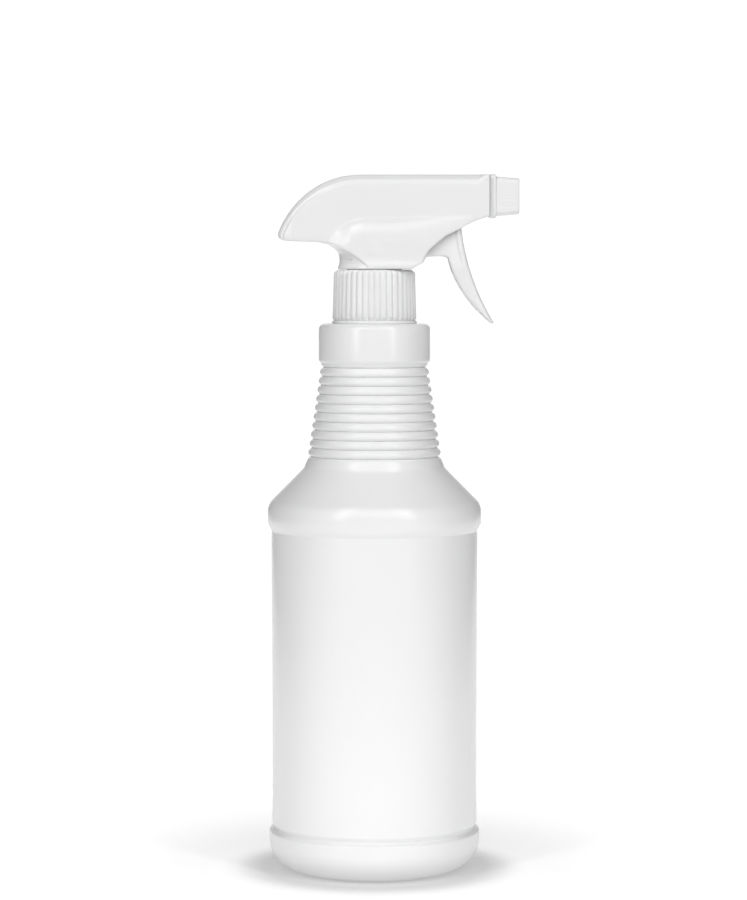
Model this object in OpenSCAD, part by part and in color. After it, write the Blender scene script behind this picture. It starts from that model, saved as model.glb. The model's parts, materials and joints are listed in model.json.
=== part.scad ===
// Trigger spray bottle of the 946 ml (32 US fl oz) housekeeping size, in millimetres.
// +Z is up. The origin is the centre of the bottle's standing ring, and +X is the spray direction.

/* [Bottle] */
// Radius of the plain panel
panel_r = 42.8; // [41:0.1:44]
// Radius of the band round the foot
foot_band_r = 44.1; // [44.05:0.05:45]
// Radius of the band round the shoulder
shoulder_band_r = 44.7; // [44.5:0.1:45.5]
// Height of the top of the foot band
foot_band_top = 16.3; // [14:0.1:20]
// Height of the bottom of the shoulder band
shoulder_band_bottom = 142; // [136:1:144]
// Number of grooves in the ribbed neck
groove_count = 11; // [8:1:11]
// Depth of each neck groove
groove_depth = 0.9; // [0.4:0.1:1]
// Rise of the hollow in the base
push_up = 4; // [2:0.5:6]
// Wall thickness of the bottle
bottle_wall = 1.2; // [0.9:0.1:1.4]

/* [Neck finish] */
// Root radius of the outside thread
finish_r = 12.55; // [12.5:0.05:12.6]
// Crest radius of the outside thread
thread_r = 13.7; // [13.5:0.05:13.75]
// Thread pitch, six turns an inch
thread_pitch = 4.233; // [4.2:0.001:4.26]

/* [Closure] */
// Number of grip ribs round the closure
grip_ribs = 40; // [30:2:44]
// Radius over the grip ribs at the bottom
closure_r = 17.5; // [17.3:0.1:18]

/* [Sprayer] */
// Height of the pump cylinder's axis
pump_z = 262; // [261.5:0.1:262.5]
// Height of the discharge tube's axis
barrel_z = 281.2; // [281:0.1:281.5]
// Radius of the pump cylinder's bore
pump_bore_r = 6.4; // [6.3:0.05:6.45]
// Wall thickness of the shroud
shroud_wall = 1.4; // [1.2:0.1:1.5]
// Half of the hood's width
hood_half_w = 11.6; // [11.5:0.1:12.5]
// Clear length of the dip tube's lower end above the base
tube_clearance = 7; // [6:1:12]

/* [Trigger] */
// Half of the trigger's width at the pivot
trigger_half_w = 9.7; // [9.6:0.05:9.8]
// Half of the trigger's width at its tip
tip_half_w = 7; // [5:0.5:9]
// Wall thickness of the trigger
trigger_wall = 1.4; // [1.2:0.1:1.6]

/* [Hidden] */
$fn = 64;
fit = 0.05;          // radial running clearance
eps = 0.5;           // how far a cutting tool runs past a face

// Bottle heights and radii
ring_in_r = 27;      // standing ring, inner edge
ring_out_r = 32;     // standing ring, outer edge
shoulder_round = 8;  // rounding between the shoulder band and the cone
shoulder_round_z = 149.5;
band_round = 2.4;    // rounding at the lower edge of the shoulder band
band_rise = 2.8;     // height of that rounding's centre over the edge
pinch = 0.7;         // depth of the groove over the foot band
pinch_z = [1.3, 2.8]; // its deepest point and its upper edge, over the band's top
neck_fillet = 4;     // concave rounding at the cone's top
neck_fillet_centre = [32.73, 170.5];
neck_taper = 8.3;    // half angle of the ribbed neck
groove_pitch = 3.73;
first_groove_z = 173;
crest_ref_z = 170;   // height at which the crest radius is crest_ref_r
crest_ref_r = 28.3;
collar_r = 23.2;
collar_bottom = 212.6;
collar_top = 228.5;
collar_round = 2.5;
collar_chamfer = 0.9; // height of the slope under the collar
root_chamfer = 0.8;  // at the foot of the threaded part
lip_chamfer = 0.5;
mouth_r = 10.8;      // bore of the neck
lip_z = 246.7;       // top of the neck
thread_z = 238.2;    // start of the neck's thread
thread_turns = 1.25;
neck_thread_w = [2.2, 1.1]; // width of the neck's thread at its root and crest
cap_thread_w = [1.7, 0.7];
cap_thread_r = 13;   // crest radius of the closure's thread
cap_thread_drop = 1.6; // the closure's thread lies this far under the neck's thread
thread_sink = 0.4;   // how far a thread's root lies inside its wall

// Closure and flange stack
closure_bottom = 228.8;
closure_top = 250.8;
bead_h = 1.9;        // smooth bead at the closure's lower edge
bead_out = 0.25;     // how far it stands out over the ribs
rib_r = 0.75;
cap_edge = 0.6;      // chamfer at the closure's top
closure_lean = 0.6;  // how much the radius shrinks over the height
closure_bore_r = 14.15;
gasket_t = 1.2;
gasket_r = 13.6;
gasket_bore_r = 11;
flange_z = lip_z + gasket_t;
flange_t = 1.4;
flange_r = 13.4;
stem_r = 11.4;

// Pump layout along X
pump_back = -9.8;    // closed end of the bore
pump_front = 19;     // open end of the cylinder
pump_wall = 1.5;
inlet_r = 1.8;
riser_x = -8;
riser_r = 2.6;
riser_bore_r = 1.2;
line_r = 4.2;        // thin rear part of the discharge tube
line_bore_r = 1.6;
web_t = 1.8;         // web between the cylinder and the discharge tube
web_length = 24;
vent_x = 9.6;
vent_r = 0.6;
skirt_r = 8.6;       // skirt that holds the tube retainer
skirt_bottom = 238;
stem_top = 255;
hub_r = 3;           // bar across the trigger's axis
pin_reach = 1.95;    // how far the pins reach past that bar
seal_x = 51.5;       // middle of the nozzle's seal
seal_groove_r = 4.26;
seal_wire_r = 0.38;
barrel_back = 36;
barrel_r = 5;
barrel_bore_r = 3.4;
barrel_step = 41.5;  // where the discharge bore widens
barrel_front = 54;
pivot = [34, 279];   // trigger axis in X and Z
pin_r = 1.6;
hub_half_w = 8;      // half width of the cross hub that carries the trigger pins
arm_r = 3.8;         // eyes of the trigger round the pins
pad_half_w = 4;      // pad that pushes the plunger
plug_r = 7;          // bore that holds the tube retainer
plug_top = 244.6;
tube_r = 3;
tube_bore_r = 2;
tube_top = 239;
filter_r = 5;        // cup of the strainer
filter_wall = 1.1;
filter_floor = 1.2;
filter_cup_h = 18;
filter_sleeve = [4.2, 6]; // radius and height of the sleeve that grips the tube
filter_slots = 8;
filter_step = 4;     // height of the tube's end over the strainer's underside
ball_r = 2;
ball_z = 241.86;     // centre of the ball on its seat
rod_tip = 30;        // front end of the plunger
rod_r = 3.2;
pad_x = rod_tip + 0.3;
cup_bore_r = 3.5;    // seat of the plunger's lip seals
cup_gap = 0.04;      // between a lip seal and the cylinder
hood_top = 290.1;
hood_front = 47.6;
base_rim_z = 251;
base_rim_r = 15.6;
waist_r = 14.7;
waist_top = 262.5;
waist_wall = 1;
swivel_r = 14;       // disc that the shroud sits on
swivel_z = 251.7;
swivel_t = 1.5;
swivel_room = 3.6;   // height of the room for that disc in the shroud
gap_back = 13.6;     // rear and lower limits of the trigger's way in
gap_bottom = 252.2;
nozzle_back = 47.95;
nozzle_flange = [2.2, 17.9]; // thickness and side of the nozzle's flange
nozzle_side = [16.3, 14.6]; // side of the nozzle behind and in front
nozzle_front = 60;
disc_back = 54.8;    // insert with the spray hole
disc_front = 56.4;
disc_r = 3;
dish_r = 4.6;        // dished hollow in the nozzle's front

// Points on an arc about centre c from angle a to angle b
function arc(c, r, a, b, n) = [for (i = [0:n]) c + r * [cos(a + (b - a) * i / n), sin(a + (b - a) * i / n)]];

// Points on a cubic curve with four control points, without the last point
function curve(p, n) = [for (i = [0:n - 1]) let (t = i / n, u = 1 - t)
    u * u * u * p[0] + 3 * u * u * t * p[1] + 3 * u * t * t * p[2] + t * t * t * p[3]];

function reverse(list) = [for (i = [len(list) - 1:-1:0]) list[i]];

// Bar of a given profile, drawn in X and Z, across the width 2 * half_w
module across(half_w) {
    translate([0, half_w, 0]) rotate([90, 0, 0]) linear_extrude(2 * half_w) children();
}

// Cylinder along +X from x0 to x1 at height z
module rod_x(r, x0, x1, z) {
    translate([x0, 0, z]) rotate([0, 90, 0]) cylinder(r = r, h = x1 - x0);
}

// Solid of revolution about the X axis at height z; the profile is drawn as [x, radius]
module turned_x(z, profile) {
    translate([0, 0, z]) rotate([0, 90, 0]) rotate_extrude() polygon([for (p = profile) [p[1], p[0]]]);
}

// Solid of revolution about the Z axis; the profile is drawn as [radius, z]
module turned_z(profile) {
    rotate_extrude() polygon(profile);
}

// ---- bottle ----

function crest_r(z) = crest_ref_r - (z - crest_ref_z) * tan(neck_taper);

// Outline of the base, from the axis to the standing ring, raised by t
function base_line(t) = [for (i = [0:5]) let (s = i / 5) [s * ring_in_r, t + push_up * (1 - s * s)]];

// Outline of the side from the standing ring to the collar's top, moved inwards by t
function side_line(t) = concat(
    arc([ring_out_r, foot_band_r - ring_out_r], foot_band_r - ring_out_r - t, -90, 0, 6),
    [[foot_band_r - t, foot_band_top], [panel_r - pinch - t, foot_band_top + pinch_z[0]],
     [panel_r - t, foot_band_top + pinch_z[1]], [panel_r - t, shoulder_band_bottom]],
    arc([shoulder_band_r - band_round, shoulder_band_bottom + band_rise], band_round - t, -60, 0, 3),
    arc([shoulder_band_r - shoulder_round, shoulder_round_z], shoulder_round - t, 0, 45, 5),
    arc(neck_fillet_centre, neck_fillet + t, 225, 180 + neck_taper, 3),
    [for (k = [0:groove_count - 1]) for (u = [-0.38, -0.22, -0.1, 0, 0.1, 0.22, 0.38])
        let (z = first_groove_z + (k + u) * groove_pitch)
        [crest_r(z) - groove_depth * pow(1 - 2 * abs(u), 3) - t, z]],
    [[crest_r(collar_bottom) - t, collar_bottom - collar_chamfer], [collar_r - t, collar_bottom]],
    arc([collar_r, collar_top] - collar_round * [1, 1], collar_round - t, 0, 90, 4)
);

// Outside thread (out = 1) or inside thread (out = -1), faded in and out at its ends
module thread(root_r, tip_r, widths, z0, turns, out) {
    steps = ceil(turns * 36);
    fade_steps = 5;
    root_w = widths[0];
    tip_w = widths[1];
    points = [for (i = [0:steps])
        let (a = 360 * turns * i / steps, z = z0 + thread_pitch * a / 360,
            fade = max(0.12, min(1, i / fade_steps, (steps - i) / fade_steps)),
            root = root_r - out * thread_sink, tip = root + (tip_r - root) * fade)
        for (p = [[root, -root_w / 2], [tip, -tip_w / 2], [tip, tip_w / 2], [root, root_w / 2]])
            [p[0] * cos(a), p[0] * sin(a), z + p[1]]];
    sides = [for (i = [0:steps - 1]) for (j = [0:3])
        let (a = 4 * i + j, b = 4 * i + (j + 1) % 4) for (f = [[a, b, b + 4], [a, b + 4, a + 4]]) f];
    faces = concat([[3, 2, 1, 0]], sides, [[for (j = [0:3]) 4 * steps + j]]);
    polyhedron(points, out < 0 ? [for (f = faces) reverse(f)] : faces);
}

module bottle() {
    color("white") {
        turned_z(concat(base_line(0), side_line(0),
            [[finish_r + root_chamfer, collar_top], [finish_r, collar_top + root_chamfer],
             [finish_r, lip_z - lip_chamfer], [finish_r - lip_chamfer, lip_z], [mouth_r, lip_z],
             [mouth_r, collar_top - bottle_wall]],
            reverse(side_line(bottle_wall)), reverse(base_line(bottle_wall))));
        thread(finish_r, thread_r, neck_thread_w, thread_z, thread_turns, 1);
    }
}

// ---- closure and gasket ----

module neck_gasket() {
    color("gainsboro") translate([0, 0, lip_z]) difference() {
        cylinder(r = gasket_r, h = gasket_t);
        translate([0, 0, -eps]) cylinder(r = gasket_bore_r, h = gasket_t + 2 * eps);
    }
}

module closure_cap() {
    wall_r = closure_r - rib_r;
    lean = atan(closure_lean / (closure_top - closure_bottom));
    roof_z = flange_z + flange_t + 4 * fit;
    color("white") {
        difference() {
            union() {
                turned_z([[0, closure_bottom], [closure_r + bead_out, closure_bottom],
                    [closure_r + bead_out, closure_bottom + bead_h - bead_out],
                    [wall_r, closure_bottom + bead_h], [wall_r - closure_lean, closure_top - cap_edge],
                    [wall_r - closure_lean - cap_edge, closure_top], [0, closure_top]]);
                for (i = [0:grip_ribs - 1]) rotate([0, 0, i * 360 / grip_ribs])
                    translate([wall_r, 0, closure_bottom + bead_h / 2]) rotate([0, -lean, 0])
                        cylinder(r = rib_r, h = closure_top - closure_bottom - bead_h / 2 - 1.4 * cap_edge);
            }
            turned_z([[0, closure_bottom - eps], [closure_bore_r, closure_bottom - eps],
                [closure_bore_r, roof_z], [0, roof_z]]);
            cylinder(r = stem_r + 8 * fit, h = closure_top + eps);
        }
        thread(closure_bore_r, cap_thread_r, cap_thread_w, thread_z - cap_thread_drop, 1, -1);
    }
}

// ---- shroud ----

// Side view of the hood, moved inwards by t
function hood_outline(t) = concat(
    curve([[-40 + t, 265.7], [-37 + t, 274.5], [-26 + t / 2, hood_top - t], [-6, hood_top - t]], 12),
    [[-6, hood_top - t], [hood_front - t, hood_top - t], [hood_front - t, 272.7 + t], [36.5, 268.4 + t],
     [30, 265.5 + t], [-14, 262 + t]],
    curve([[-22, 261.5 + t], [-27, 262.3 + t], [-36, 261.6 + t], [-39.4 + t, 263.6 + t / 2]], 6),
    [[-39.4 + t, 263.6 + t / 2]]
);

// Side view of the lower body, moved inwards by t
function body_outline(t) = concat(
    curve([[-17.6 + t, 262], [-13.6 + t, 267.4 - t], [-9, 271.4 - t], [-2, 271.5 - t]], 6),
    [[-2, 271.5 - t], [39, 271.5 - t], [35.9, 268 - t / 2], [28.8, 265 - t / 2], [19.6 - t / 2, 256.5],
     [17.2 - t, base_rim_z + 1.4], [15.6 - t, base_rim_z], [-2, base_rim_z], [-4 + t / 2, base_rim_z + 2.6],
     [-7.5 + t / 2, 256.3], [-11 + t / 2, 258.3 + t / 2]]
);

// Hood: its side view, crossed with a round-topped section and a tapered plan
module hood_form(t) {
    half_w = hood_half_w - t;
    round_r = 3.2 - t;
    top = hood_top - t;
    intersection() {
        across(half_w) polygon(hood_outline(t));
        rotate([90, 0, 90]) translate([0, 0, -41]) linear_extrude(90) polygon(concat(
            [[half_w, 255], [half_w, 280]], arc([half_w - round_r, top - round_r], round_r, 0, 90, 6),
            arc([round_r - half_w, top - round_r], round_r, 90, 180, 6), [[-half_w, 280], [-half_w, 255]]));
        translate([0, 0, 255]) linear_extrude(40) polygon([[hood_front - t, -half_w], [hood_front - t, half_w],
            [-18, half_w], [-34, half_w - 1.6], [-40 + t, half_w - 5], [-40 + t, 5 - half_w],
            [-34, 1.6 - half_w], [-18, -half_w]]);
    }
}

// Lower body: wider than the hood, so that it covers the pump and meets the closure
module body_form(t) {
    intersection() {
        across(16) polygon(body_outline(t));
        rotate([90, 0, 90]) translate([0, 0, -21]) linear_extrude(62) polygon([for (side = [1, -1])
            for (p = side > 0 ? lower_section(t) : reverse(lower_section(t))) [side * p[0], p[1]]]);
        translate([0, 0, 250]) linear_extrude(24) polygon([for (side = [1, -1])
            for (p = side > 0 ? body_plan(t) : reverse(body_plan(t))) [p[0], side * p[1]]]);
    }
}

// Half section of the lower body, from its rim up to the hood
function lower_section(t) = [[15.3 - t, base_rim_z], [15.4 - t, 256], [15 - t, 262], [14.2 - t, 267],
    [13 - t, 270 - t], [hood_half_w - t, 271.5 - t / 2]];

// Half plan of the lower body, from the tail side to the nozzle side
function body_plan(t) = [[-21, 11.4 - t], [-15, 13 - t], [-10, 14.3 - t], [-4, 15.3 - t], [10, 15.3 - t],
    [22, 13.4 - t], [39, hood_half_w - t]];

// Round waist between the hood and the closure, moved inwards by t
module waist_form(t) {
    turned_z([[0, base_rim_z], [base_rim_r - t, base_rim_z], [base_rim_r - t, base_rim_z + 1],
        [waist_r - t, 255], [waist_r - t, waist_top], [0, waist_top]]);
}

// Flare that carries the hood's underside over into the waist at the back
module waist_flare() {
    intersection() {
        turned_z([[0, 255], [waist_r, 255], [waist_r + 0.4, 257.3], [waist_r + 2.2, 259.7],
            [waist_r + 4.9, 261.2], [waist_r + 9, waist_top], [0, waist_top]]);
        translate([-26, 1 - hood_half_w, 254]) cube([17, 2 * (hood_half_w - 1), 10]);
    }
}

module shroud() {
    gap_half_w = hood_half_w - shroud_wall;
    color("white") difference() {
        union() {
            hood_form(0);
            body_form(0);
            waist_form(0);
            waist_flare();
        }
        hood_form(shroud_wall);
        body_form(shroud_wall);
        waist_form(waist_wall);
        translate([0, 0, base_rim_z - eps]) cylinder(r = swivel_r + 2 * fit, h = swivel_room + eps);
        rod_x(barrel_r + 0.4, 40, hood_front + eps, barrel_z);
        // the way in for the trigger, between the side walls
        translate([gap_back, -gap_half_w, gap_bottom])
            cube([37 - gap_back, 2 * gap_half_w, 270 - gap_bottom]);
        translate([22, -gap_half_w, 262]) cube([14.8, 2 * gap_half_w, 12]);
    }
}

// ---- pump body and suction side ----

module pump_body() {
    cylinder_r = pump_bore_r + pump_wall;
    color("white") difference() {
        union() {
            translate([0, 0, flange_z]) cylinder(r = flange_r, h = flange_t);
            translate([0, 0, skirt_bottom]) cylinder(r = skirt_r, h = flange_z + flange_t - skirt_bottom);
            translate([0, 0, flange_z]) cylinder(r = stem_r, h = stem_top - flange_z);
            translate([0, 0, swivel_z]) cylinder(r = swivel_r, h = swivel_t);
            rod_x(cylinder_r, pump_back - pump_wall, pump_front, pump_z);
            rod_x(line_r, riser_x - riser_r, barrel_back + 1, barrel_z);
            rod_x(barrel_r, barrel_back, barrel_front, barrel_z);
            translate([riser_x, 0, pump_z]) cylinder(r = riser_r, h = barrel_z - pump_z);
            translate([riser_x, -web_t / 2, pump_z]) cube([web_length, web_t, barrel_z - pump_z]);
            trigger_axle(hub_r, hub_half_w);
            trigger_axle(pin_r, hub_half_w + pin_reach);
        }
        rod_x(pump_bore_r, pump_back, pump_front + eps, pump_z);
        translate([0, 0, skirt_bottom - eps]) cylinder(r = plug_r, h = plug_top - skirt_bottom + eps);
        translate([0, 0, plug_top - eps]) cylinder(r = inlet_r, h = pump_z - plug_top);
        translate([riser_x, 0, pump_z]) cylinder(r = riser_bore_r, h = barrel_z - pump_z);
        rod_x(line_bore_r, riser_x - 1, barrel_step + eps, barrel_z);
        rod_x(barrel_bore_r, barrel_step, barrel_front + eps, barrel_z);
        // vent from the front of the cylinder down into the neck
        translate([vent_x, 0, flange_z - eps]) cylinder(r = vent_r, h = pump_z - flange_z - 4);
        // groove for the nozzle's seal
        turned_x(barrel_z, [[seal_x - 0.5, seal_groove_r], [seal_x + 0.5, seal_groove_r],
            [seal_x + 0.5, barrel_r + eps], [seal_x - 0.5, barrel_r + eps]]);
    }
}

// Round bar across the trigger's axis
module trigger_axle(r, half_w) {
    translate([pivot[0], half_w, pivot[1]]) rotate([90, 0, 0]) cylinder(r = r, h = 2 * half_w);
}

module tube_retainer() {
    color("whitesmoke") turned_z([[tube_r, 229], [4.6, 229], [4.6, 236.5], [8.4, 236.5],
        [8.4, skirt_bottom], [plug_r, skirt_bottom], [plug_r, plug_top], [2.6, plug_top], [2.6, 241.6],
        [1.5, 240.5], [1.5, tube_top], [tube_r, tube_top]]);
}

module inlet_ball() {
    color("silver") translate([0, 0, ball_z]) sphere(r = ball_r);
}

module dip_tube() {
    color("ghostwhite") translate([0, 0, tube_clearance + filter_step]) difference() {
        cylinder(r = tube_r, h = tube_top - tube_clearance - filter_step);
        translate([0, 0, -eps]) cylinder(r = tube_bore_r, h = tube_top);
    }
}

module tube_filter() {
    room_r = filter_r - filter_wall;
    color("whitesmoke") translate([0, 0, tube_clearance]) difference() {
        union() {
            cylinder(r = filter_r, h = filter_cup_h);
            translate([0, 0, filter_cup_h]) cylinder(r = filter_sleeve[0], h = filter_sleeve[1]);
        }
        translate([0, 0, filter_floor]) cylinder(r = room_r, h = filter_step - filter_floor);
        translate([0, 0, filter_step]) cylinder(r = tube_r, h = filter_cup_h + filter_sleeve[1]);
        translate([0, 0, filter_step - 0.2]) difference() {
            cylinder(r = room_r, h = 11);
            translate([0, 0, -eps]) cylinder(r = tube_r + 0.7, h = 12);
        }
        for (i = [0:filter_slots - 1]) rotate([0, 0, i * 360 / filter_slots])
            translate([room_r - eps, -0.5, 2]) cube([filter_wall + 2 * eps, 1, 11]);
    }
}

// ---- plunger ----

module piston_rod() {
    color("white") turned_x(pump_z, concat(
        [[5.4, 0], [5.4, 5.7], [6.3, 5.7], [6.3, cup_bore_r], [8.5, cup_bore_r], [8.5, 5.9], [11.7, 5.9],
         [11.7, cup_bore_r], [14, cup_bore_r], [14, 6.3], [15.5, 6.3], [15.5, rod_r]],
        arc([rod_tip - rod_r, 0], rod_r, 90, 0, 6)));
}

// Lip seal round the plunger from x0 to x1, with a flared edge facing the chamber
module cup(x0, x1) {
    turned_x(pump_z, [[x0, 4.6], [x0, pump_bore_r - cup_gap], [x0 + 0.6, pump_bore_r - cup_gap],
        [x1, pump_bore_r - 0.5], [x1, cup_bore_r], [x0 + 0.9, cup_bore_r], [x0 + 0.9, 4.4]]);
}

module pressure_cup() {
    color("lightgray") cup(6.35, 8.45);
}

module vent_cup() {
    color("lightgray") cup(11.75, 13.95);
}

// Coil of round wire along X at height z; the ends stay inside x0 and x1
module coil(coil_r, wire_r, x0, x1, turns, z) {
    sides = 8;
    steps = turns * 16;
    lead = x1 - x0 - 2 * wire_r;
    points = [for (i = [0:steps]) let (a = 360 * turns * i / steps)
        for (j = [0:sides - 1]) let (b = 360 * j / sides, r = coil_r + wire_r * cos(b))
            [x0 + wire_r + lead * i / steps + wire_r * sin(b), r * cos(a), z + r * sin(a)]];
    skin = [for (i = [0:steps - 1]) for (j = [0:sides - 1])
        let (a = sides * i + j, b = sides * i + (j + 1) % sides)
        for (f = [[a, b + sides, b], [a, a + sides, b + sides]]) f];
    polyhedron(points, concat([[for (j = [0:sides - 1]) j]], skin,
        [[for (j = [sides - 1:-1:0]) sides * steps + j]]));
}

module return_spring() {
    color("silver") coil(4.3, 0.45, pump_back + 0.05, 5.35, 7, pump_z);
}

// ---- discharge side ----

module valve_seat() {
    color("whitesmoke") turned_x(barrel_z, [[barrel_step, 1.3], [barrel_step, barrel_bore_r],
        [43, barrel_bore_r], [43, 1.8], [42.5, 1.3]]);
}

module outlet_valve() {
    color("lightgray") turned_x(barrel_z, [[42.7, 0], [42.7, 1.3], [43.05, 1.7], [43.05, 2.4], [44.2, 2.4],
        [44.2, 0.9], [46, 0.9], [46, 0]]);
}

module valve_spring() {
    color("silver") coil(1.9, 0.25, 44.25, 47.35, 4, barrel_z);
}

module swirl_core() {
    slots = 3;
    color("whitesmoke") difference() {
        turned_x(barrel_z, [[47.4, 1.3], [47.4, barrel_bore_r - 0.05], [54.5, barrel_bore_r - 0.05],
            [54.5, 0], [49.5, 0], [49.5, 1.3]]);
        for (i = [0:slots - 1]) translate([0, 0, barrel_z]) rotate([i * 360 / slots, 0, 0]) {
            translate([47, -0.6, 2.4]) cube([8, 1.2, 2]);
            translate([54, 0.9, -0.4]) cube([1, 3, 0.8]);
        }
    }
}

module nozzle_seal() {
    color("dimgray") translate([seal_x, 0, barrel_z]) rotate([0, 90, 0]) rotate_extrude()
        translate([seal_groove_r + seal_wire_r + 0.02, 0]) circle(r = seal_wire_r, $fn = 24);
}

// Square with round corners, of height and width side
module round_square(side, corner) {
    r = side / 2 - corner;
    hull() for (y = [-r, r]) for (z = [-r, r]) translate([z, y]) circle(r = corner, $fn = 32);
}

module nozzle_cap() {
    color("white") difference() {
        union() {
            nozzle_slice(nozzle_back, nozzle_flange[0], nozzle_flange[1], 3);
            hull() {
                nozzle_slice(nozzle_back + 1, 0.1, nozzle_side[0], 2.4);
                nozzle_slice(nozzle_front - 0.1, 0.1, nozzle_side[1], 2.2);
            }
        }
        rod_x(barrel_r + 0.08, nozzle_back - eps, disc_back, barrel_z);
        rod_x(disc_r, disc_back - eps, disc_front, barrel_z);
        turned_x(barrel_z, [[disc_front - eps, 0], [disc_front - eps, 1], [disc_front, 1],
            [nozzle_front + eps, dish_r], [nozzle_front + eps, 0]]);
    }
}

// Square plate of a given thickness across the spray axis at x
module nozzle_slice(x, thickness, side, corner) {
    translate([x, 0, barrel_z]) rotate([0, 90, 0]) linear_extrude(thickness) round_square(side, corner);
}

module orifice_disc() {
    color("whitesmoke") turned_x(barrel_z, [[disc_back, 0.4], [disc_back, disc_r], [disc_front, disc_r],
        [disc_front, 0.8], [disc_back + 0.8, 0.4]]);
}

// ---- trigger ----

// Finger edge of the trigger, from the hood down to the tip
function finger_edge(inset) = curve([[36 - inset, 268], [37.6 - inset, 253.5], [42.2 - 1.3 * inset, 241],
    [49.8 - 1.4 * inset, 228.4]], 10);

// Outline across the trigger's width, narrower towards its tip, moved inwards by t
module trigger_section(t) {
    rotate([90, 0, 90]) linear_extrude(60) polygon([for (side = [-1, 1])
        for (z = side < 0 ? [290, 256, 228] : [228, 256, 290])
            [side * ((z == 228 ? tip_half_w : trigger_half_w) - t), z]]);
}

module trigger() {
    back_edge = curve([[30.2, 255.2], [33, 246.5], [37.5, 237], [48.4, 228.5]], 10);
    color("white") difference() {
        union() {
            // side plates and finger wall
            difference() {
                intersection() {
                    across(trigger_half_w) polygon(concat([[37.4, 277.8]], finger_edge(0),
                        [[49.8, 228.4], [48.4, 228.5]], reverse(back_edge),
                        [[28.8, 255.8], [22.3, 255.6], [21.6, 255.1], [20.4, 253.3], [17.9, 252.7],
                         [17.6, 254.6], [30.4, 277.8]]));
                    trigger_section(0);
                }
                intersection() {
                    across(trigger_half_w) polygon(concat([[35.8, 290]], finger_edge(trigger_wall + 0.2),
                        [[46, 231], [36, 228], [15, 228], [15, 290]]));
                    trigger_section(trigger_wall);
                }
            }
            for (side = [-1, 1]) translate([pivot[0], side * (trigger_half_w - trigger_wall / 2), pivot[1]])
                rotate([90, 0, 0]) cylinder(r = arm_r, h = trigger_wall, center = true);
            // pad that pushes the plunger
            across(pad_half_w) polygon([[pad_x, 258.5], [35.6, 256.5], [35.2, 266], [pad_x, 266]]);
        }
        trigger_axle(pin_r + fit, 15);
        // room for the discharge tube between the arms
        translate([25, trigger_wall - trigger_half_w, 268])
            cube([15, 2 * (trigger_half_w - trigger_wall), 20]);
    }
}

bottle();
neck_gasket();
closure_cap();
shroud();
pump_body();
tube_retainer();
inlet_ball();
dip_tube();
tube_filter();
trigger();
piston_rod();
pressure_cup();
vent_cup();
return_spring();
valve_seat();
outlet_valve();
valve_spring();
swirl_core();
nozzle_seal();
nozzle_cap();
orifice_disc();
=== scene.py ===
"""Spray bottle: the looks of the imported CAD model.

Shapes are worked out in millimetres and built in metres.
"""

import json
import math

import bpy
import numpy as np
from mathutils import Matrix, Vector


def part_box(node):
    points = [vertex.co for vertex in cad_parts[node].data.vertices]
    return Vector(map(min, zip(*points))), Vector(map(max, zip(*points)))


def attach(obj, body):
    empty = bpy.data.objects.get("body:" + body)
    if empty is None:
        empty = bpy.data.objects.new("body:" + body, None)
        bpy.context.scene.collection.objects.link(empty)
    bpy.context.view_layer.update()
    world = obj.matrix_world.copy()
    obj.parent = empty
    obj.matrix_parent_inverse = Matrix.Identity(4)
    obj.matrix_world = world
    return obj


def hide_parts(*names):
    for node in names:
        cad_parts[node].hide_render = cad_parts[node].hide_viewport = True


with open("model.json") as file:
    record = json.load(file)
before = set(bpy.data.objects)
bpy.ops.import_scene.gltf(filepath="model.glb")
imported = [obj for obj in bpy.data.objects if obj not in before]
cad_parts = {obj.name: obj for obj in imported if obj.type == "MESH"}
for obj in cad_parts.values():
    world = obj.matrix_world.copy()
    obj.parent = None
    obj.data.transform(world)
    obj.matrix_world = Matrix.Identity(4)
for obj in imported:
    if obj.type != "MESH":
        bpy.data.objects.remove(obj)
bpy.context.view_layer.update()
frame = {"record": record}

MM = 0.001


def box_mm(node):
    """The node's lowest and highest corners in millimetres."""
    low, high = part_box(node)
    return np.array(low) / MM, np.array(high) / MM


# ---- places taken from the frame, in millimetres ----

_, BOTTLE_HIGH = box_mm("bottle")
CAP_LOW, CAP_HIGH = box_mm("closure_cap")
SHROUD_LOW, SHROUD_HIGH = box_mm("shroud")
NOZZLE_LOW, NOZZLE_HIGH = box_mm("nozzle_cap")
TRIGGER_LOW, TRIGGER_HIGH = box_mm("trigger")
JOINTS = {joint["name"]: joint for joint in frame["record"]["behaviour"]["joints"]}
PIVOT = np.array(JOINTS["trigger_squeeze"]["pos_m"]) / MM
BARREL_Z = JOINTS["nozzle_turn"]["pos_m"][2] / MM


# ---- mesh helpers ----

def mesh_piece(name, points, faces, body, replaced, smooth_angle=40):
    """A piece from points in millimetres, riding on a body and standing for a CAD node."""
    mesh = bpy.data.meshes.new(name)
    mesh.from_pydata((np.asarray(points) * MM).tolist(), [], [list(map(int, f)) for f in faces])
    mesh.validate()
    mesh.polygons.foreach_set("use_smooth", [True] * len(mesh.polygons))
    mesh.set_sharp_from_angle(angle=math.radians(smooth_angle))
    piece = bpy.data.objects.new(name, mesh)
    bpy.context.scene.collection.objects.link(piece)
    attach(piece, body)
    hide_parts(replaced)
    return piece


def arc(centre, radius, start, end, steps):
    """Points on an arc, angles in degrees."""
    angles = np.radians(np.linspace(start, end, steps + 1))
    return [(centre[0] + radius * math.cos(a), centre[1] + radius * math.sin(a)) for a in angles]


def curve(control, steps):
    """Points on a cubic Bezier curve, without its last point."""
    p = np.array(control, float)
    t = np.linspace(0, 1, steps, endpoint=False)[:, None]
    u = 1 - t
    return [tuple(q) for q in u**3 * p[0] + 3 * u**2 * t * p[1] + 3 * u * t**2 * p[2] + t**3 * p[3]]


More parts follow.
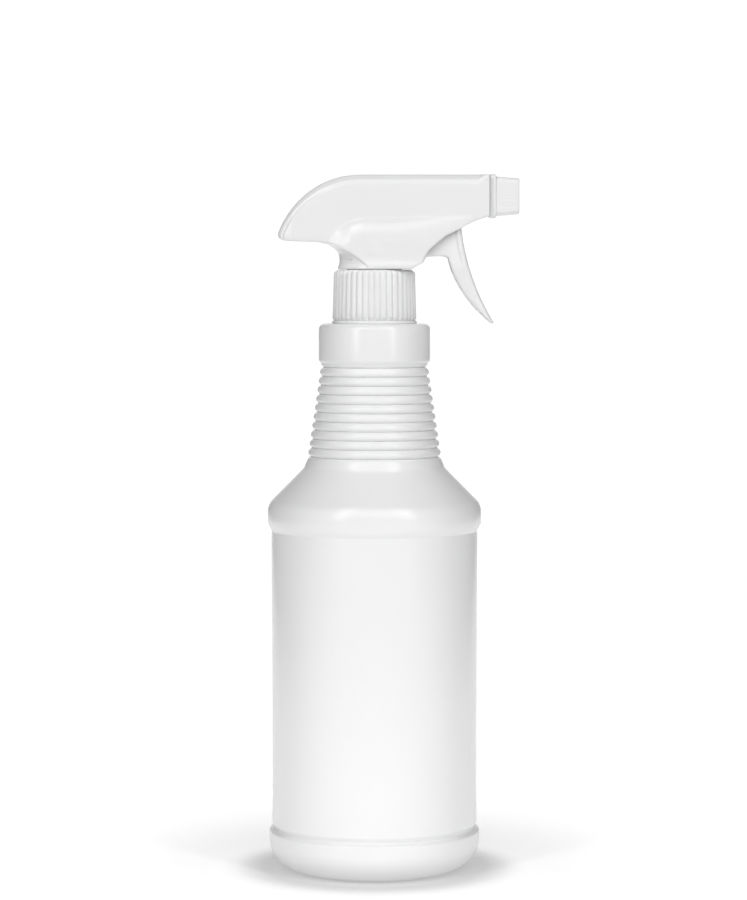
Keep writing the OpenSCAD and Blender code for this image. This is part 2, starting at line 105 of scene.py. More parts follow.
def round_corners(profile, radii, steps=4):
    """The open profile with a small arc in place of each inner corner that has a radius."""
    result = [profile[0]]
    for before, corner, after, radius in zip(profile, profile[1:], profile[2:], radii):
        a, b, c = (np.array(p, float) for p in (before, corner, after))
        if radius <= 0:
            result.append(tuple(b))
            continue
        length_in, length_out = np.linalg.norm(a - b), np.linalg.norm(c - b)
        u, v = (a - b) / length_in, (c - b) / length_out
        half = math.acos(np.clip(u @ v, -1, 1)) / 2
        reach = min(radius / math.tan(half), 0.45 * length_in, 0.45 * length_out)
        p, q = b + u * reach, b + v * reach
        for t in np.linspace(0, 1, steps + 1):
            result.append(tuple((1 - t) ** 2 * p + 2 * t * (1 - t) * b + t**2 * q))
    return result + [profile[-1]]


def revolve(profile, segments, radius_at=None):
    """Points and faces of a closed (radius, z) outline turned about Z.

    radius_at(radius, z, angle) may change the radius of each point.
    """
    outline = np.array(profile, float)
    angle = np.arange(segments) * 2 * math.pi / segments
    radius = np.repeat(outline[:, 0][:, None], segments, 1)
    height = np.repeat(outline[:, 1][:, None], segments, 1)
    if radius_at:
        radius = radius_at(radius, height, np.broadcast_to(angle, radius.shape))
    points = np.stack([radius * np.cos(angle), radius * np.sin(angle), height], -1)
    rows = len(outline)
    faces = []
    for i in range(rows):
        k = (i + 1) % rows
        for j in range(segments):
            m = (j + 1) % segments
            faces.append((i * segments + j, i * segments + m, k * segments + m, k * segments + j))
    return points.reshape(-1, 3), faces


# ---- solids given as a distance field ----

def smooth_max(a, b, radius):
    """The greater of two fields, with the edge between them rounded."""
    blend = np.maximum(radius - np.abs(a - b), 0)
    return np.maximum(a, b) + blend**2 / (4 * radius)


def smooth_min(a, b, radius):
    """The lesser of two fields, with the edge between them rounded."""
    return -smooth_max(-a, -b, radius)


def outline_field(x, z, outline):
    """Signed distance to a closed outline, negative inside."""
    points = np.array(outline, float)
    nearest = np.full(np.broadcast(x, z).shape, 1e9)
    inside = np.zeros(nearest.shape, bool)
    for (ax, az), (bx, bz) in zip(points, np.roll(points, -1, 0)):
        ex, ez = bx - ax, bz - az
        if ex * ex + ez * ez < 1e-12:
            continue
        t = np.clip(((x - ax) * ex + (z - az) * ez) / (ex * ex + ez * ez), 0, 1)
        nearest = np.minimum(nearest, (x - ax - t * ex) ** 2 + (z - az - t * ez) ** 2)
        crosses = ((az > z) != (bz > z)) & (x < ex * (z - az) / (ez if ez else 1e-9) + ax)
        inside ^= crosses
    return np.sqrt(nearest) * np.where(inside, -1, 1)


NEWTON_STEPS = 4


def field_gradient(field, points, step=0.02):
    """Value and gradient of a field at scattered points."""
    x, y, z = points.T
    value = field(x, y, z)
    slopes = [(field(*(points + step * axis).T) - value) / step for axis in np.eye(3)]
    return value, np.stack(slopes, 1)


def surface_net(field, low, high, cell):
    """Points and quads of the surface where the field is zero, moved onto it exactly."""
    low = np.array(low, float)
    axes = [np.arange(low[i], high[i] + cell, cell) for i in range(3)]
    grid = np.meshgrid(*axes, indexing="ij", sparse=True)
    value = np.broadcast_to(field(*grid), [len(a) for a in axes])
    inside = value < 0
    size = np.array(value.shape) - 1
    corners = [np.array([i, j, k]) for i in (0, 1) for j in (0, 1) for k in (0, 1)]

    def at(corner, data):
        return data[tuple(slice(c, c + n) for c, n in zip(corner, size))]

    count = sum(at(c, inside).astype(int) for c in corners)
    active = (count > 0) & (count < 8)
    index = np.full(active.shape, -1)
    index[active] = np.arange(active.sum())
    total, hits = np.zeros((active.sum(), 3)), np.zeros((active.sum(), 1))
    for axis in range(3):
        for start in (c for c in corners if c[axis] == 0):
            step = np.eye(3, dtype=int)[axis]
            a, b = at(start, value)[active], at(start + step, value)[active]
            cross = (a < 0) != (b < 0)
            share = a[cross] / (a[cross] - b[cross])
            total[cross] += start + share[:, None] * step
            hits[cross] += 1
    points = low + (np.argwhere(active) + total / hits) * cell
    faces = []
    for axis in range(3):
        unit = np.eye(3, dtype=int)
        u, v = unit[(axis + 1) % 3], unit[(axis + 2) % 3]
        first = [slice(1, -1)] * 3
        second = [slice(1, -1)] * 3
        first[axis], second[axis] = slice(0, -1), slice(1, None)
        a, b = inside[tuple(first)], inside[tuple(second)]
        edges = np.argwhere(a != b) + 1 - unit[axis]
        quad = np.stack([index[tuple((edges - s).T)] for s in (u + v, v, 0 * u, u)], 1)
        outward = a[a != b]
        quad[~outward] = quad[~outward][:, ::-1]
        faces.append(quad)
    for _ in range(NEWTON_STEPS):
        distance, slope = field_gradient(field, points)
        steepness = np.maximum((slope**2).sum(1), 0.05)
        move = -(distance / steepness)[:, None] * slope
        reach = np.linalg.norm(move, axis=1, keepdims=True)
        points = points + move * np.minimum(1, 0.3 * cell / np.maximum(reach, 1e-9))
    return points, np.concatenate(faces)


# ---- bottle ----

PANEL_R = 42.8
PANEL_HOLLOW = 0.25  # how much wider the panel is at its ends than at its middle
FOOT_BAND_R = 44.1
FOOT_BAND_TOP = 16.3
PINCH = 0.85  # depth of the groove between the foot band and the panel
RING_IN_R, RING_OUT_R = 27, 32
PUSH_UP = 4
WALL = 1.2
SHOULDER_BAND_R = 44.65
SHOULDER_BAND_BOTTOM = 142
SHOULDER_ROUND_R, SHOULDER_ROUND_Z = 8, 149.5
NECK_LEAN = 8.3  # degrees
NECK_FOOT_R, NECK_FOOT_Z = 28.3, 170
NECK_FILLET_R = 4
NECK_FILLET_CENTRE = (32.73, 170.5)
GROOVES = 11
GROOVE_PITCH = 3.73
GROOVE_DEPTH = 1.35
GROOVE_SHARPNESS = 2.6  # 1 is a plain V, more makes the valley narrower
FIRST_GROOVE_Z = 173
COLLAR_R = 23.2
COLLAR_BOTTOM, COLLAR_TOP = 212.6, 228.5
COLLAR_ROUND = 2.5
FINISH_R = 12.55
MOUTH_R = 10.8
SEAM_HEIGHT, SEAM_HALF_W = 0.06, 0.5
SEAM_LEAST_R = 20  # nearer the axis there is no seam
BOTTLE_SEGMENTS = 360
# samples of one groove, from -0.5 to 0.42 of its pitch, closer together in the valley
GROOVE_HALF = [0.04, 0.08, 0.13, 0.19, 0.26, 0.34, 0.42]
GROOVE_SAMPLES = [-0.5] + [-u for u in GROOVE_HALF[::-1]] + [0] + GROOVE_HALF


def crest_r(z):
    """Radius of the neck over its ribs."""
    return NECK_FOOT_R - (z - NECK_FOOT_Z) * math.tan(math.radians(NECK_LEAN))


def neck_line(t):
    """The ribbed neck from its foot to the collar, moved inwards by t."""
    line = []
    for k in range(GROOVES):
        for u in GROOVE_SAMPLES:
            z = FIRST_GROOVE_Z + (k + u) * GROOVE_PITCH
            depth = GROOVE_DEPTH * (1 - abs(2 * u)) ** GROOVE_SHARPNESS
            line.append((crest_r(z) - depth - t, z))
    return line


def side_line(t):
    """The bottle's side from the standing ring to the collar's top, moved inwards by t."""
    foot_r = FOOT_BAND_R - RING_OUT_R
    foot = arc((RING_OUT_R, foot_r), foot_r - t, -90, 0, 18)
    pinch = (PANEL_R - PINCH - t, FOOT_BAND_TOP + 1.2)
    panel = [(PANEL_R - t + PANEL_HOLLOW * share**2, z)
             for share, z in ((1, 19.4), (0.4, 30), (0, 60), (0.6, 110), (1, 137))]
    step = [(PANEL_R - t + 0.2, SHOULDER_BAND_BOTTOM + 0.2),
            (SHOULDER_BAND_R - 0.5 - t, SHOULDER_BAND_BOTTOM + 1.6)]
    band = [foot[-1], (FOOT_BAND_R - t, FOOT_BAND_TOP), pinch, *panel, *step]
    corner_radii = [1.3, 0.35, 1.4, 0, 0, 0, 0, 1.0, 0]
    band = round_corners(band, corner_radii, 5)
    swell = [(SHOULDER_BAND_R - t - 0.12, SHOULDER_BAND_BOTTOM + 3)]
    shoulder_centre = (SHOULDER_BAND_R - SHOULDER_ROUND_R, SHOULDER_ROUND_Z)
    shoulder = arc(shoulder_centre, SHOULDER_ROUND_R - t, 0, 45, 12)
    fillet = arc(NECK_FILLET_CENTRE, NECK_FILLET_R + t, 225, 180 + NECK_LEAN, 8)
    collar = [(crest_r(COLLAR_BOTTOM) - t - 0.3, COLLAR_BOTTOM - 1.1),
              (COLLAR_R - 0.1 - t, COLLAR_BOTTOM + 0.2),
              (COLLAR_R - t, COLLAR_BOTTOM + 1)]
    top = arc((COLLAR_R - COLLAR_ROUND, COLLAR_TOP - COLLAR_ROUND), COLLAR_ROUND - t, 0, 90, 10)
    return foot[:-1] + band[:-1] + swell + shoulder + fillet + neck_line(t) + collar + top


def base_line(t):
    """The pushed-up base from its middle to the standing ring, moved upwards by t."""
    return [(max(s, 0.002) * RING_IN_R, t + PUSH_UP * (1 - s * s)) for s in np.linspace(0, 1, 12)]


def mould_seam(radius, height, angle):
    """A fine proud parting line on the +X and -X sides of the bottle, below the collar's top."""
    turn = np.minimum(np.abs(np.sin(angle)) * radius / SEAM_HALF_W, 1)
    return radius + SEAM_HEIGHT * (1 - turn**2) * (height < COLLAR_TOP) * (radius > SEAM_LEAST_R)


def build_bottle():
    """One closed wall from the base to the plain neck finish and back down the inside."""
    lip = BOTTLE_HIGH[2]
    finish = [(FINISH_R + 1.2, COLLAR_TOP), (FINISH_R + 0.3, COLLAR_TOP + 0.4),
              (FINISH_R, COLLAR_TOP + 1.4), (FINISH_R, lip - 0.5), (FINISH_R - 0.5, lip),
              (MOUTH_R, lip), (MOUTH_R, COLLAR_TOP - WALL)]
    outline = base_line(0) + side_line(0) + finish + side_line(WALL)[::-1] + base_line(WALL)[::-1]
    points, faces = revolve(outline, BOTTLE_SEGMENTS, mould_seam)
    return mesh_piece("bottle_skin", points, faces, "bottle", "bottle")


# ---- closure ----

GRIP_RIBS = 40
SAMPLES_PER_RIB = 14
RIB_HEIGHT = 0.8
CAP_BORE_R = 14.15
CAP_MOUTH_R = 11.8
CAP_CEILING_Z = 249.5
CAP_LEAN = 0.6  # how much narrower the wall is at its top
BEAD_W, BEAD_H = 0.95, 1.5
CAP_DROP = 0.26  # how far the bead reaches below the CAD part


def build_closure():
    """Ribbed cap with a bead at its lower edge and a plain bore."""
    low, high = CAP_LOW[2] - CAP_DROP, CAP_HIGH[2]
    wall_r = CAP_HIGH[0] - 1.0
    top_r = wall_r - CAP_LEAN
    bead = [(CAP_BORE_R, low), (wall_r + BEAD_W, low), (wall_r + BEAD_W, low + 1.0),
            (wall_r + 0.1, low + 1.25), (wall_r, low + BEAD_H)]
    bead = round_corners(bead, [0.3, 0.35, 0.1], 3)
    wall = [(wall_r - CAP_LEAN * s, low + BEAD_H + s * (high - low - BEAD_H - 1.2))
            for s in np.linspace(0.02, 1, 16)]
    top = [(top_r - 0.15, high - 0.5), (top_r - 0.6, high - 0.1), (top_r - 1.0, high),
           (CAP_MOUTH_R, high), (CAP_MOUTH_R, CAP_CEILING_Z), (CAP_BORE_R, CAP_CEILING_Z)]
    rib_low, rib_high = low + 1.3, high - 0.8

    def ribbed(radius, height, angle):
        fade = np.clip((height - rib_low) / 0.4, 0, 1) * np.clip((rib_high + 0.4 - height) / 0.6, 0, 1)
        across = np.abs(2 * (angle * GRIP_RIBS / (2 * math.pi) % 1) - 1)
        return radius + RIB_HEIGHT * (1 - across**3) * fade * (radius > CAP_BORE_R + 1)

    points, faces = revolve(bead + wall + top, GRIP_RIBS * SAMPLES_PER_RIB, ribbed)
    return mesh_piece("closure_skin", points, faces, "closure", "closure_cap", 60)


# ---- shroud ----

HOOD_TOP = SHROUD_HIGH[2]
HOOD_FRONT = SHROUD_HIGH[0]
HOOD_HALF_W = 11.6
SHROUD_WALL = 1.4
SHROUD_CELL = 0.45
SHROUD_REACH_Y = 17  # a little past the bulge on each side
BASE_RIM_Z = SHROUD_LOW[2]
TOP_BAND_W = 3.0  # how far the slanted band along the hood's top edge leans in
TOP_BAND_H = 2.7
CREASE_DEPTH = 0.55
CREASE_HALF_W = 0.5
BULGE_ROUND = 7  # how far below its upper edge the bulge reaches its full width
TAIL_CURVE = [(-40, 265.7), (-37, 274.5), (-26, HOOD_TOP), (-6, HOOD_TOP)]
BULGE_CURVE = [(-18.9, 261.8), (-16.2, 267.4), (-9.5, 272), (-1.6, 272.1)]
HOOD_OUTLINE = (curve(TAIL_CURVE, 24)
                + [(-6, HOOD_TOP), (HOOD_FRONT, HOOD_TOP), (HOOD_FRONT, 273), (44.7, 272.1),
                   (42.5, 271.3), (39.1, 269.6), (36.5, 268.4), (30, 265.5), (-14, 262)]
                + curve([(-19.6, 261.9), (-25, 262.5), (-33, 262.5), (-37.4, 262.8)], 8)
                + curve([(-37.4, 262.8), (-39.3, 263), (-40.2, 264.4), (-40, 265.7)], 6))
BODY_OUTLINE = (curve(BULGE_CURVE, 14)
                + [(-1.6, 272.1), (39, 272.1), (35.9, 268.2), (29.4, 264.9), (22.3, 258.6),
                   (20.7, 255.8), (19.8, 253.4), (17.6, 252.3), (15.6, 251), (-2, 251), (-3.9, 253),
                   (-6.2, 255), (-9.2, 257.3), (-13.1, 259.4), (-16.5, 260.8)])
# the way the trigger's arms reach up into the shroud, seen from the side
TRIGGER_WAY = [(13.8, 252.5), (13.8, 257), (27.5, 268), (36.8, 271.5), (36.8, 262), (25, 250), (17, 250),
               (17, 252.5)]
# the region below the hood's top edge, and below the upper edge of the bulge
TOP_EDGE = curve(TAIL_CURVE, 24) + [(-6, HOOD_TOP), (80, HOOD_TOP), (80, 200), (-40, 200)]
BULGE_EDGE = curve(BULGE_CURVE, 14) + [(-1.6, 272.1), (60, 272.1), (60, 200), (-18.9, 200)]


def hood_half_w(x):
    """Half of the hood's width, which draws in along the tail."""
    return np.interp(x, [-40, -34, -22, 47], [8.6, 10.2, HOOD_HALF_W, HOOD_HALF_W])


def hood_field(x, y, z):
    """Hood with a slanted band along its top edge, and a fine crease below the band."""
    below_top = -outline_field(x, z, TOP_EDGE)
    band_ends = [-40, -20, 43, 46.5]
    band_h = np.interp(x, band_ends, [1.6, TOP_BAND_H, TOP_BAND_H, 0.2])
    band_w = np.interp(x, band_ends, [1.6, TOP_BAND_W, TOP_BAND_W, 0])
    band = band_w * np.clip(1 - below_top / band_h, 0, 1.2)
    valley = np.exp(-(((below_top - band_h - 0.2) / CREASE_HALF_W) ** 2))
    crease = CREASE_DEPTH * valley * np.interp(x, [43, 46], [1, 0])
    tail_tuck = 0.6 * np.clip((265.5 - z) / 3.5, 0, 1) ** 2 * (x < 0)
    half_w = hood_half_w(x) - band - crease - tail_tuck
    return smooth_max(outline_field(x, z, HOOD_OUTLINE), (np.abs(y) - half_w) * 0.85, 0.8)


def body_field(x, y, z):
    """Lower body that swells out below the hood and ends in a slanting edge over the round waist."""
    below_edge = -outline_field(x, z, BULGE_EDGE)
    swell = np.sqrt(np.clip(1 - np.clip(1 - below_edge / BULGE_ROUND, 0, 1) ** 2, 0, 1))
    share = np.interp(x, [-21, -15, -10, -5, -1, 8, 14, 22, 39],
                      [0, 0.4, 0.75, 0.95, 1, 1, 0.85, 0.48, 0.03])
    full_half_w = np.interp(z, [251, 252, 253, 254.5, 256, 259, 262],
                            [15.1, 15.5, 15.4, 14.95, 14.9, 15.2, 15.5])
    half_w = hood_half_w(x) - 0.3 + (full_half_w - HOOD_HALF_W + 0.3) * share * swell
    return smooth_max(outline_field(x, z, BODY_OUTLINE), (np.abs(y) - half_w) * 0.9, 0.9)


def waist_field(x, y, z):
    """Round waist that flares out into the underside of the hood's tail."""
    radius = np.hypot(x, y)
    waist_r = np.interp(z, [251, 252.2, 253.2, 255, 256.3, 257.6],
                        [15.4, 15.2, 14.75, 14.6, 14.7, 15.1])
    top_z = 263
    drum = np.maximum(radius - waist_r, np.maximum(BASE_RIM_Z - z, z - top_z))
    flare_r = np.interp(z, [255, 256.3, 257.6, 259.7, 261.2, 262, top_z],
                        [14.6, 14.7, 15.1, 16.9, 19.6, 23, 26])
    flare = np.maximum((radius - flare_r) * 0.6, np.maximum(np.maximum(255 - z, z - top_z), x + 6))
    flare = smooth_max(flare, np.abs(y) - (hood_half_w(x) - 1.2), 0.8)
    return np.minimum(drum, flare)


def shroud_field(x, y, z):
    """The outer form as a shell, open below, round the barrel and where the trigger goes in."""
    hood = smooth_min(hood_field(x, y, z), body_field(x, y, z), 1.2)
    outer = smooth_min(hood, waist_field(x, y, z), 0.5)
    shell = smooth_max(outer, -(outer + SHROUD_WALL), 0.4)
    mouth = np.maximum(np.hypot(x, y) - 14.05, z - 256)
    barrel = np.maximum(np.hypot(y, z - BARREL_Z) - 5.5, 40 - x)
    way_in = np.maximum(outline_field(x, z, TRIGGER_WAY), np.abs(y) - (HOOD_HALF_W - SHROUD_WALL))
    cuts = np.minimum(np.minimum(mouth, barrel), way_in)
    return smooth_max(np.maximum(shell, BASE_RIM_Z - z), -cuts, 0.4)


def build_shroud():
    """The head's cover, meshed from its field."""
    low = SHROUD_LOW - [1, 0, 1]
    high = SHROUD_HIGH + [1, 0, 1]
    low[1], high[1] = -SHROUD_REACH_Y, SHROUD_REACH_Y
    points, faces = surface_net(shroud_field, low, high, SHROUD_CELL)
    return mesh_piece("shroud_skin", points, faces, "head", "shroud", 50)


# ---- trigger ----

TIP_FRONT, TIP_BACK = (49.8, 228.4), (48.4, 228.5)
BACK_EDGE = curve([(30.2, 255.2), (33, 246.5), (37.5, 237), TIP_BACK], 16)
PUSH_PAD = [(30.3, 258.5), (36, 256.5), (35.6, 266), (30.3, 266)]
EYE_R, PIN_HOLE_R = 3.8, 1.65
FINGER_WALL, SIDE_PLATE = 1.6, 1.7
CHEEK_STEP, CHEEK_INSET = 0.8, 2.0
TRIGGER_CELL = 0.4


def finger_edge(inset):
    """The edge that the fingers pull, moved inwards by about inset."""
    return curve([(36 - inset, 268), (37.6 - inset, 253.5), (42.2 - 1.3 * inset, 241),
                  (TIP_FRONT[0] - 1.4 * inset, TIP_FRONT[1])], 16)


def trigger_half_w(z):
    """Half of the trigger's width, which draws in towards its tip."""
    return np.interp(z, [228, 256], [7.0, 9.7])


def trigger_field(x, y, z):
    """Lever with a U section: a finger wall and two side plates, arms round the pins, and a push pad."""
    outline = ([(37.4, 277.8)] + finger_edge(0) + [TIP_FRONT, TIP_BACK] + BACK_EDGE[::-1]
               + [(28.8, 255.8), (22.3, 255.6), (21.6, 255.1), (20.4, 253.3), (17.9, 252.7),
                  (17.6, 254.6), (30.4, 277.8)])
    from_pivot = np.hypot(x - PIVOT[0], z - PIVOT[2])
    shape = np.minimum(outline_field(x, z, outline), from_pivot - EYE_R)
    behind_edge = outline_field(x, z, finger_edge(0) + [TIP_FRONT, (90, 228), (90, 268)])
    cheek = np.clip((behind_edge - CHEEK_INSET) / 0.8, 0, 1) * np.clip((z - 251) / 5, 0, 1)
    half_w = trigger_half_w(z) - CHEEK_STEP * cheek
    outer = smooth_max(shape, np.abs(y) - half_w, 2.4)
    pocket_line = ([(35.8, 290)] + finger_edge(FINGER_WALL)
                   + [(46, 231), (36, 228), (15, 228), (15, 290)])
    pocket = np.maximum(outline_field(x, z, pocket_line), np.abs(y) - (trigger_half_w(z) - SIDE_PLATE))
    room = np.maximum(np.maximum(25 - x, x - 40), np.maximum(268 - z, np.abs(y) - 8.3))
    body = smooth_max(outer, -np.minimum(pocket, room), 0.5)
    pad = np.maximum(outline_field(x, z, PUSH_PAD), np.abs(y) - 4)
    body = smooth_min(body, pad, 0.5)
    return smooth_max(body, PIN_HOLE_R - from_pivot, 0.1)


def build_trigger():
    """The trigger, meshed from its field."""
    points, faces = surface_net(trigger_field, TRIGGER_LOW - 1, TRIGGER_HIGH + 1, TRIGGER_CELL)
    return mesh_piece("trigger_skin", points, faces, "trigger", "trigger", 50)


# ---- nozzle ----

FLANGE_HALF = 9.05
FLANGE_FRONT = 50.4
FLANGE_BACK = NOZZLE_LOW[0] - 0.31
CAP_BACK, CAP_FRONT = 49, 60
CAP_CORNER = 2.0
GRIP_DEPTH, GRIP_PITCH = 0.05, 1.4
GRIP_FROM, GRIP_TO = 52, 58.5
BARREL_BORE_R, BARREL_BORE_END = 5.08, 54.8
DISC_SEAT_R, DISC_SEAT_END = 3, 56.4
DISH_R = 4.6
NOZZLE_CELL = 0.25


def nozzle_field(x, y, z):
    """Square cap with a flange, fine grip lines on its sides and a dished front."""
    h = z - BARREL_Z
    grip = (np.cos(h * 2 * math.pi / GRIP_PITCH) > 0.6) * (x > GRIP_FROM) * (x < GRIP_TO)
    cap_half = np.interp(x, [CAP_BACK, CAP_FRONT], [8.25, 7.4]) - GRIP_DEPTH * grip

    def square(half):
        qx, qy = np.abs(y) - half + CAP_CORNER, np.abs(h) - half + CAP_CORNER
        outside = np.hypot(np.maximum(qx, 0), np.maximum(qy, 0))
        return outside + np.minimum(np.maximum(qx, qy), 0) - CAP_CORNER

    cap = smooth_max(square(cap_half), np.maximum(CAP_BACK - x, x - NOZZLE_HIGH[0]), 0.7)
    flange = smooth_max(square(FLANGE_HALF), np.maximum(FLANGE_BACK - x, x - FLANGE_FRONT), 0.9)
    outer = smooth_min(cap, flange, 0.25)
    radius = np.hypot(y, h)
    bore = np.maximum(radius - BARREL_BORE_R, x - BARREL_BORE_END)
    seat = np.maximum(radius - DISC_SEAT_R, x - DISC_SEAT_END)
    dish_r = np.interp(x, [DISC_SEAT_END, CAP_FRONT], [1, DISH_R])
    dish = np.maximum(radius - dish_r, 56 - x)
    return smooth_max(outer, -np.minimum(np.minimum(bore, seat), dish), 0.3)


def build_nozzle():
    """The nozzle cap, meshed from its field."""
    points, faces = surface_net(nozzle_field, NOZZLE_LOW - 1, NOZZLE_HIGH + 1, NOZZLE_CELL)
    return mesh_piece("nozzle_skin", points, faces, "nozzle", "nozzle_cap", 50)


# ---- materials ----

TINT_SPREAD = 0.985
ROUGHNESS_SPREAD = 0.025
TINT_SCALE, GLOSS_SCALE = 45, 90


def plastic(name, colour, roughness, glow, grain_mm, grain_height):
    """Moulded plastic: a soft body, uneven gloss and a fine orange-peel skin.

    glow is the subsurface share, and grain_height is in metres.
    """
    material = bpy.data.materials.new(name)
    material.use_nodes = True
    nodes, links = material.node_tree.nodes, material.node_tree.links
    shader = nodes["Principled BSDF"]
    shader.inputs["Subsurface Weight"].default_value = glow
    shader.inputs["Subsurface Radius"].default_value = (1.0, 0.95, 0.9)
    shader.inputs["Subsurface Scale"].default_value = 0.0005
    shader.inputs["IOR"].default_value = 1.5
    shader.inputs["Specular IOR Level"].default_value = 0.5
    place = nodes.new("ShaderNodeTexCoord")

    def noise(scale, detail):
        node = nodes.new("ShaderNodeTexNoise")
        node.inputs["Scale"].default_value = scale
        node.inputs["Detail"].default_value = detail
        links.new(place.outputs["Object"], node.inputs["Vector"])
        return node.outputs["Fac"]

    def spread(value, low, high):
        """The noise, which keeps mostly within 0.15 to 0.85, spread from low to high."""
        node = nodes.new("ShaderNodeMapRange")
        node.inputs["From Min"].default_value = 0.15
        node.inputs["From Max"].default_value = 0.85
        node.inputs["To Min"].default_value = low
        node.inputs["To Max"].default_value = high
        links.new(value, node.inputs["Value"])
        return node.outputs["Result"]

    tint = nodes.new("ShaderNodeMix")
    tint.data_type = "RGBA"
    tint.inputs["A"].default_value = (*[c * TINT_SPREAD for c in colour], 1)
    tint.inputs["B"].default_value = (*colour, 1)
    links.new(spread(noise(TINT_SCALE, 3), 0, 1), tint.inputs["Factor"])
    links.new(tint.outputs["Result"], shader.inputs["Base Color"])
    gloss = spread(noise(GLOSS_SCALE, 4), roughness - ROUGHNESS_SPREAD, roughness + ROUGHNESS_SPREAD)
    links.new(gloss, shader.inputs["Roughness"])
    bump = nodes.new("ShaderNodeBump")
    bump.inputs["Strength"].default_value = 0.25
    bump.inputs["Distance"].default_value = grain_height
    links.new(noise(1 / (grain_mm * MM), 2), bump.inputs["Height"])
    links.new(bump.outputs["Normal"], shader.inputs["Normal"])
    return material


MATERIALS = {
    "bottle_plastic": plastic("bottle_plastic", (0.86, 0.86, 0.865), 0.24, 0.05, 0.9, 0.00006),
    "sprayer_plastic": plastic("sprayer_plastic", (0.85, 0.85, 0.855), 0.24, 0.06, 0.6, 0.00003),
    "clear_plastic": plastic("clear_plastic", (0.78, 0.8, 0.8), 0.34, 0.5, 0.8, 0.00003),
    "seal_plastic": plastic("seal_plastic", (0.7, 0.71, 0.72), 0.45, 0.2, 0.5, 0.00003),
    "seal_foam": plastic("seal_foam", (0.8, 0.8, 0.78), 0.8, 0.1, 0.25, 0.0001),
    "seal_rubber": plastic("seal_rubber", (0.03, 0.03, 0.03), 0.6, 0.0, 0.4, 0.00003),
}


def steel():
    """Drawn stainless wire with fine marks."""
    material = plastic("steel", (0.6, 0.6, 0.62), 0.24, 0.0, 0.15, 0.00001)
    material.node_tree.nodes["Principled BSDF"].inputs["Metallic"].default_value = 1.0
    return material


MATERIALS["steel"] = steel()

for entry in frame["record"]["subparts"]:
    node = bpy.data.objects.get(entry["node"])
    if node is not None and node.type == "MESH":
        node.data.materials.clear()
        node.data.materials.append(MATERIALS[entry["material_slot"]])


def finish_piece(piece, slot):
    """Gives a piece its material."""
    piece.data.materials.append(MATERIALS[slot])


finish_piece(build_bottle(), "bottle_plastic")
for piece in (build_closure(), build_shroud(), build_trigger(), build_nozzle()):
    finish_piece(piece, "sprayer_plastic")


# ---- floor, light and camera, in metres ----

# levels from straight towards the camera (0) to straight behind the object (1)
WORLD_AROUND = [(0.0, 0.34), (0.3, 0.42), (0.5, 0.07), (0.8, 0.07), (1.0, 0.7)]
# levels from straight down (0) to straight up (1)
WORLD_UPWARD = [(0.0, 0.3), (0.5, 0.6), (0.62, 1.0), (0.8, 0.5), (1.0, 0.1)]
WORLD_STRENGTH = 0.55
# painted glow of the stage at a share of STAGE_REACH from the object: less round its foot, as a painted
# contact shadow, more far away
STAGE_PAINTED_GLOW = [(0.03, 0.3), (0.043, 0.66), (0.1, 0.82), (0.2, 0.84), (0.6, 0.85)]
STAGE_REACH = 1.5
STAGE_GREY = 0.45
STAGE_HALF_W, STAGE_FRONT, STAGE_DEPTH, STAGE_HEIGHT, STAGE_BEND = 0.6, -0.4, 2.4, 2.2, 0.6
# name, place, size and watts of each light, all aimed at LIT_POINT
LIGHTS = [
    ("softbox_left", (-0.9, -1.15, 1.05), (0.2, 2.3), 11),
    ("softbox_right", (0.9, -1.15, 1.05), (0.2, 2.3), 10.8),
    ("front_top", (0, -1.2, 1.1), (1.8, 0.9), 9.0),
]
LIT_POINT = (0, 0, 0.2)
CAMERA_PLACE = (-0.0004, -1.245, 0.2478)
CAMERA_DIP = 3.32  # degrees below level
CAMERA_LENS, SENSOR_HEIGHT = 119.3, 36  # millimetres


def graded(tree, value, stops):
    """Grey levels at stops from 0 to 1, with soft changes between them."""
    ramp = tree.nodes.new("ShaderNodeValToRGB")
    ramp.color_ramp.interpolation = "EASE"
    for element, (position, _) in zip(ramp.color_ramp.elements, (stops[0], stops[-1])):
        element.position = position
    for position, _ in stops[1:-1]:
        ramp.color_ramp.elements.new(position)
    for element, (_, level) in zip(ramp.color_ramp.elements, stops):
        element.color = (level, level, level, 1)
    tree.links.new(value, ramp.inputs["Fac"])
    return ramp.outputs["Color"]


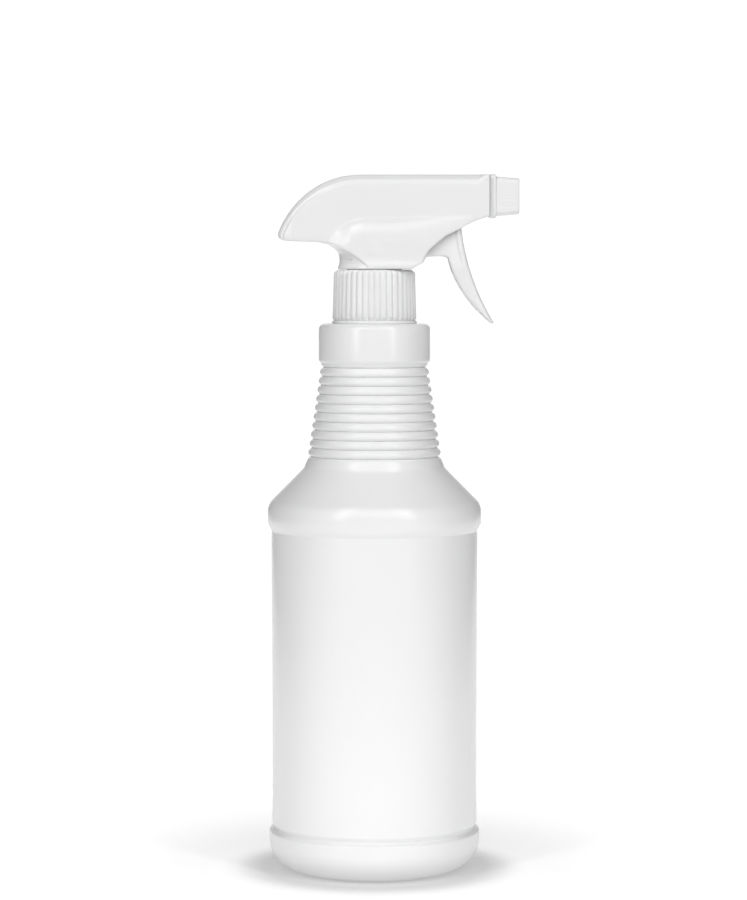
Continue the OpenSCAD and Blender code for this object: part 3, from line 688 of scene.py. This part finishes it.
def stage_with_painted_glow():
    """A grey floor that curves up into a backdrop and glows with painted light, which makes it look
    white and lights the object; the glow is dimmed round the object's foot as a painted contact shadow.
    """
    bend_start = STAGE_DEPTH - STAGE_BEND
    line = [(STAGE_FRONT, 0.0), (bend_start, 0.0)]
    line += arc((bend_start, STAGE_BEND), STAGE_BEND, -85, 0, 17)
    line.append((STAGE_DEPTH, STAGE_HEIGHT))
    points = [(side * STAGE_HALF_W, y, z) for y, z in line for side in (-1, 1)]
    faces = [(2 * i, 2 * i + 1, 2 * i + 3, 2 * i + 2) for i in range(len(line) - 1)]
    mesh = bpy.data.meshes.new("stage_floor")
    mesh.from_pydata(points, [], faces)
    mesh.polygons.foreach_set("use_smooth", [True] * len(faces))
    stage = bpy.data.objects.new("stage_floor", mesh)
    bpy.context.scene.collection.objects.link(stage)
    material = bpy.data.materials.new("stage_painted_glow")
    material.use_nodes = True
    nodes, links = material.node_tree.nodes, material.node_tree.links
    shader = nodes["Principled BSDF"]
    shader.inputs["Base Color"].default_value = (STAGE_GREY, STAGE_GREY, STAGE_GREY, 1)
    shader.inputs["Roughness"].default_value = 0.9
    shader.inputs["Emission Strength"].default_value = 1
    away = nodes.new("ShaderNodeVectorMath")
    away.operation = "LENGTH"
    links.new(nodes.new("ShaderNodeTexCoord").outputs["Object"], away.inputs[0])
    share = nodes.new("ShaderNodeMath")
    share.operation = "DIVIDE"
    share.inputs[1].default_value = STAGE_REACH
    links.new(away.outputs["Value"], share.inputs[0])
    # painted light: the floor glows by its distance from the object, less near the foot as a painted
    # contact shadow
    glow = graded(material.node_tree, share.outputs["Value"], STAGE_PAINTED_GLOW)
    links.new(glow, shader.inputs["Emission Color"])
    mesh.materials.append(material)


def area_light(name, place, size, power):
    """A rectangular light of a power in watts, turned to LIT_POINT."""
    data = bpy.data.lights.new(name, "AREA")
    data.shape = "RECTANGLE"
    data.size, data.size_y = size
    data.energy = power
    light = bpy.data.objects.new(name, data)
    light.location = place
    light.rotation_euler = (Vector(LIT_POINT) - Vector(place)).to_track_quat("-Z", "Y").to_euler()
    bpy.context.scene.collection.objects.link(light)


def studio_world():
    """Light behind the object and in front of it, dark at its two sides and overhead."""
    world = bpy.data.worlds.new("studio_world")
    world.use_nodes = True
    nodes, links = world.node_tree.nodes, world.node_tree.links
    direction = nodes.new("ShaderNodeSeparateXYZ")
    links.new(nodes.new("ShaderNodeTexCoord").outputs["Generated"], direction.inputs["Vector"])

    def shifted(value):
        """From -1 to 1 into 0 to 1."""
        node = nodes.new("ShaderNodeMath")
        node.operation = "MULTIPLY_ADD"
        node.inputs[1].default_value = 0.5
        node.inputs[2].default_value = 0.5
        links.new(value, node.inputs[0])
        return node.outputs["Value"]

    around = graded(world.node_tree, shifted(direction.outputs["Y"]), WORLD_AROUND)
    upward = graded(world.node_tree, shifted(direction.outputs["Z"]), WORLD_UPWARD)
    both = nodes.new("ShaderNodeMix")
    both.data_type = "RGBA"
    both.blend_type = "MULTIPLY"
    both.inputs["Factor"].default_value = 1
    links.new(around, both.inputs["A"])
    links.new(upward, both.inputs["B"])
    links.new(both.outputs["Result"], nodes["Background"].inputs["Color"])
    nodes["Background"].inputs["Strength"].default_value = WORLD_STRENGTH
    bpy.context.scene.world = world


def studio():
    """The lights, the world and the plain view of their colours."""
    for light in LIGHTS:
        area_light(*light)
    studio_world()
    bpy.context.scene.view_settings.view_transform = "Standard"


def photo_camera():
    """Side view from 1.25 m away, at the height of the closure, dipped a little."""
    data = bpy.data.cameras.new("photo_camera")
    data.lens = CAMERA_LENS
    data.sensor_fit = "VERTICAL"
    data.sensor_height = SENSOR_HEIGHT
    camera = bpy.data.objects.new("photo_camera", data)
    camera.location = CAMERA_PLACE
    camera.rotation_euler = (math.radians(90 - CAMERA_DIP), 0, 0)
    bpy.context.scene.collection.objects.link(camera)
    bpy.context.scene.camera = camera


stage_with_painted_glow()
studio()
photo_camera()
